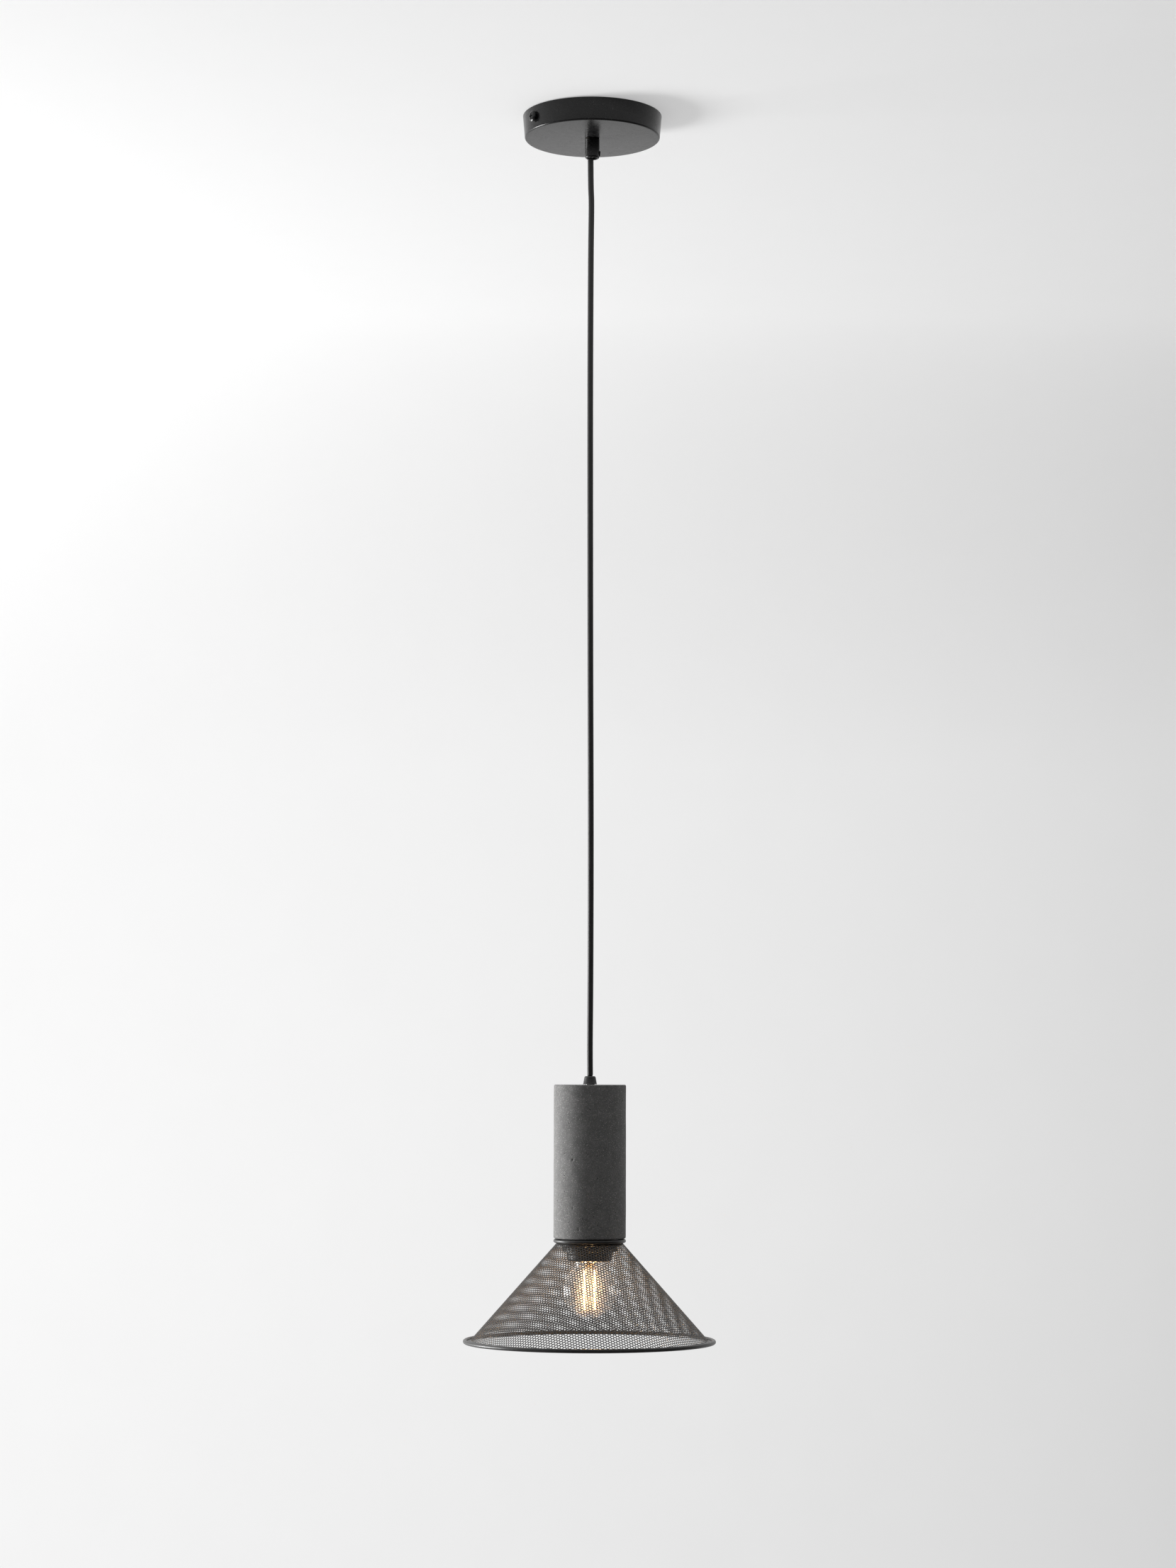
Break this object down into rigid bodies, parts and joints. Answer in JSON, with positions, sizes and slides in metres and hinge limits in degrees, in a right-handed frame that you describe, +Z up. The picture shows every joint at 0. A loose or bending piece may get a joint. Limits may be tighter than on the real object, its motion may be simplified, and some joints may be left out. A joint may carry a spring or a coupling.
{
  "type": "pendant ceiling light",
  "caption": "Pendant light: black canopy, straight cord, dark concrete cylinder over a perforated metal cone shade and a clear globe filament bulb.",
  "frame": {"origin": "centre of the bracket's top face, where it lies on the ceiling", "axes": "+Z up into the ceiling, along the cord's line; -Y is the front"},
  "size_m": [0.212, 0.212, 1.0514],
  "materials": {
    "black_coat": "fine-textured matte powder coat",
    "zinc": "bright zinc plating",
    "brass": "satin brass",
    "nickel": "nickel-plated, bright",
    "black_plastic": "satin thermoplastic",
    "nylon": "natural nylon",
    "cord_sheath": "matte flexible PVC sheath",
    "core_brown": "PVC insulation",
    "core_blue": "PVC insulation",
    "concrete": "cast fine dark concrete with pale specks, unpolished",
    "ceramic": "unglazed steatite",
    "clear_glass": "clear blown glass",
    "black_glass": "black vitrite",
    "filament": "yellow phosphor coating, lit"
  },
  "bodies": {
    "ceiling_mount": {"ceiling_bracket": "zinc"},
    "canopy": {"canopy_cover": "black_coat", "side_screw_front": "black_coat", "side_screw_back": "black_coat", "side_nut_front": "zinc", "side_nut_back": "zinc", "cord_grip": "black_coat", "set_screw": "black_coat", "grip_nipple": "brass", "nipple_washer": "zinc", "nipple_nut": "brass", "terminal_block": "nylon", "terminal_tube_live": "brass", "terminal_tube_neutral": "brass", "core_live": "core_brown", "core_neutral": "core_blue", "cord_upper_end": "cord_sheath"},
    "cord": {"cord": "cord_sheath"},
    "lamp": {"strain_relief": "black_plastic", "concrete_body": "concrete", "hanger_tube": "zinc", "tube_washer": "zinc", "tube_nut": "zinc", "holder_lock_nut": "zinc", "holder_cap": "black_plastic", "holder_skirt": "black_plastic", "holder_insulator": "ceramic", "holder_screw_shell": "brass", "holder_centre_contact": "brass", "cord_lower_end": "cord_sheath"},
    "shade": {"shade_cone": "black_coat", "neck_bead": "black_coat", "rim_bead": "black_coat", "shade_collar": "black_coat"},
    "shade_ring": {"shade_ring": "black_plastic"},
    "bulb_contact": {"bulb_contact": "nickel"},
    "bulb": {"bulb_cap": "nickel", "bulb_insulator": "black_glass", "bulb_glass": "clear_glass", "bulb_stem": "clear_glass", "filament_ring": "zinc", "filament_1": "filament", "filament_2": "filament", "filament_3": "filament", "filament_4": "filament"}
  },
  "joints": [
    {"name": "canopy_drop", "type": "slide", "parent": "ceiling_mount", "child": "canopy", "axis": [0, 0, -1], "range_m": [0, 0.03]},
    {"name": "cord_swing", "type": "hinge", "parent": "canopy", "child": "cord", "pos_m": [-0.0014, 0, -0.0389], "axis": [0, 1, 0], "range_deg": [-30, 30]},
    {"name": "lamp_rock", "type": "hinge", "parent": "cord", "child": "lamp", "pos_m": [0, 0, -0.8267], "axis": [1, 0, 0], "range_deg": [-15, 15]},
    {"name": "shade_travel", "type": "slide", "parent": "lamp", "child": "shade", "axis": [0, 0, -1], "range_m": [0, 0.012]},
    {"name": "ring_turn", "type": "hinge", "parent": "shade", "child": "shade_ring", "pos_m": [0, 0, -0.9665], "axis": [0, 0, -1], "range_deg": [0, 1440]},
    {"name": "bulb_travel", "type": "slide", "parent": "lamp", "child": "bulb_contact", "axis": [0, 0, -1], "range_m": [0, 0.02177]},
    {"name": "bulb_turn", "type": "hinge", "parent": "bulb_contact", "child": "bulb", "pos_m": [0, 0, -1], "axis": [0, 0, -1], "range_deg": [0, 2160]}
  ],
  "couplings": [
    {"joint": "ring_turn", "follows": "shade_travel", "rad_per_m": 2094.4},
    {"joint": "bulb_turn", "follows": "bulb_travel", "rad_per_m": 1731.4}
  ]
}
